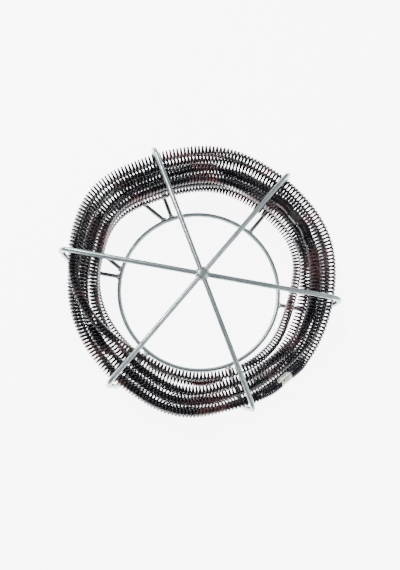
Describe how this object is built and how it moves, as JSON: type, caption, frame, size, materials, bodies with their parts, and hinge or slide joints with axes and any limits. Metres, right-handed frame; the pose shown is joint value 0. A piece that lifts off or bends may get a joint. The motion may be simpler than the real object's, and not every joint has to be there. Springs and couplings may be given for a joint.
{
  "type": "sectional drain cable set in carrier",
  "caption": "Open-wound sectional drain-cleaning cables joined by slotted couplings and coiled inside a round welded wire carrier with radial spokes and a carrying handle.",
  "frame": {"origin": "on the carrier's axis, at the floor the ring side stands on", "axes": "+Z along the carrier's axis, from the floor ring to the hub and spokes; X and Y across it, with the carrying handle towards 142 degrees from +X"},
  "size_m": [0.4518, 0.4458, 0.1015],
  "materials": {
    "zinc_wire": "zinc-plated round wire with welded joints",
    "black_cable": "black-oxide spring wire with light rust tints",
    "plated_coupling": "turned and plated, lightly worn",
    "hard_steel": "hardened bright steel"
  },
  "bodies": {
    "carrier": {"hub_boss": "zinc_wire", "spoke_rod_1": "zinc_wire", "spoke_rod_2": "zinc_wire", "spoke_rod_3": "zinc_wire", "spoke_rod_4": "zinc_wire", "spoke_rod_5": "zinc_wire", "spoke_rod_6": "zinc_wire", "floor_ring": "zinc_wire", "carry_handle": "zinc_wire"},
    "cable_pack": {"cable_1": "black_cable", "cable_2": "black_cable", "cable_3": "black_cable", "cable_4": "black_cable", "cable_5": "black_cable", "female_coupling_1": "plated_coupling", "female_coupling_2": "plated_coupling", "female_coupling_3": "plated_coupling", "female_coupling_4": "plated_coupling", "female_coupling_5": "plated_coupling", "male_coupling_1": "plated_coupling", "male_coupling_2": "plated_coupling", "male_coupling_3": "plated_coupling", "male_coupling_4": "plated_coupling", "male_coupling_5": "plated_coupling", "plunger_spring_1": "hard_steel", "plunger_spring_2": "hard_steel", "plunger_spring_3": "hard_steel", "plunger_spring_4": "hard_steel", "plunger_spring_5": "hard_steel"},
    "lock_plunger_1": {"lock_plunger_1": "hard_steel"},
    "lock_plunger_2": {"lock_plunger_2": "hard_steel"},
    "lock_plunger_3": {"lock_plunger_3": "hard_steel"},
    "lock_plunger_4": {"lock_plunger_4": "hard_steel"},
    "lock_plunger_5": {"lock_plunger_5": "hard_steel"}
  },
  "joints": [
    {"name": "pack_turn", "type": "hinge", "parent": "carrier", "child": "cable_pack", "pos_m": [0, 0, 0], "axis": [0, 0, 1], "range_deg": [-5, 5]},
    {"name": "lock_release_1", "type": "slide", "parent": "cable_pack", "child": "lock_plunger_1", "axis": [0, 0, 1], "range_m": [-0.0016, 0], "stiffness_N_per_m": 300, "springref_m": 0.001, "deforming": ["plunger_spring_1"]},
    {"name": "lock_release_2", "type": "slide", "parent": "cable_pack", "child": "lock_plunger_2", "axis": [0, 0, 1], "range_m": [-0.0016, 0], "stiffness_N_per_m": 300, "springref_m": 0.001, "deforming": ["plunger_spring_2"]},
    {"name": "lock_release_3", "type": "slide", "parent": "cable_pack", "child": "lock_plunger_3", "axis": [0, 0, 1], "range_m": [-0.0016, 0], "stiffness_N_per_m": 300, "springref_m": 0.001, "deforming": ["plunger_spring_3"]},
    {"name": "lock_release_4", "type": "slide", "parent": "cable_pack", "child": "lock_plunger_4", "axis": [0, 0, 1], "range_m": [-0.0016, 0], "stiffness_N_per_m": 300, "springref_m": 0.001, "deforming": ["plunger_spring_4"]},
    {"name": "lock_release_5", "type": "slide", "parent": "cable_pack", "child": "lock_plunger_5", "axis": [0, 0, 1], "range_m": [-0.0016, 0], "stiffness_N_per_m": 300, "springref_m": 0.001, "deforming": ["plunger_spring_5"]}
  ]
}
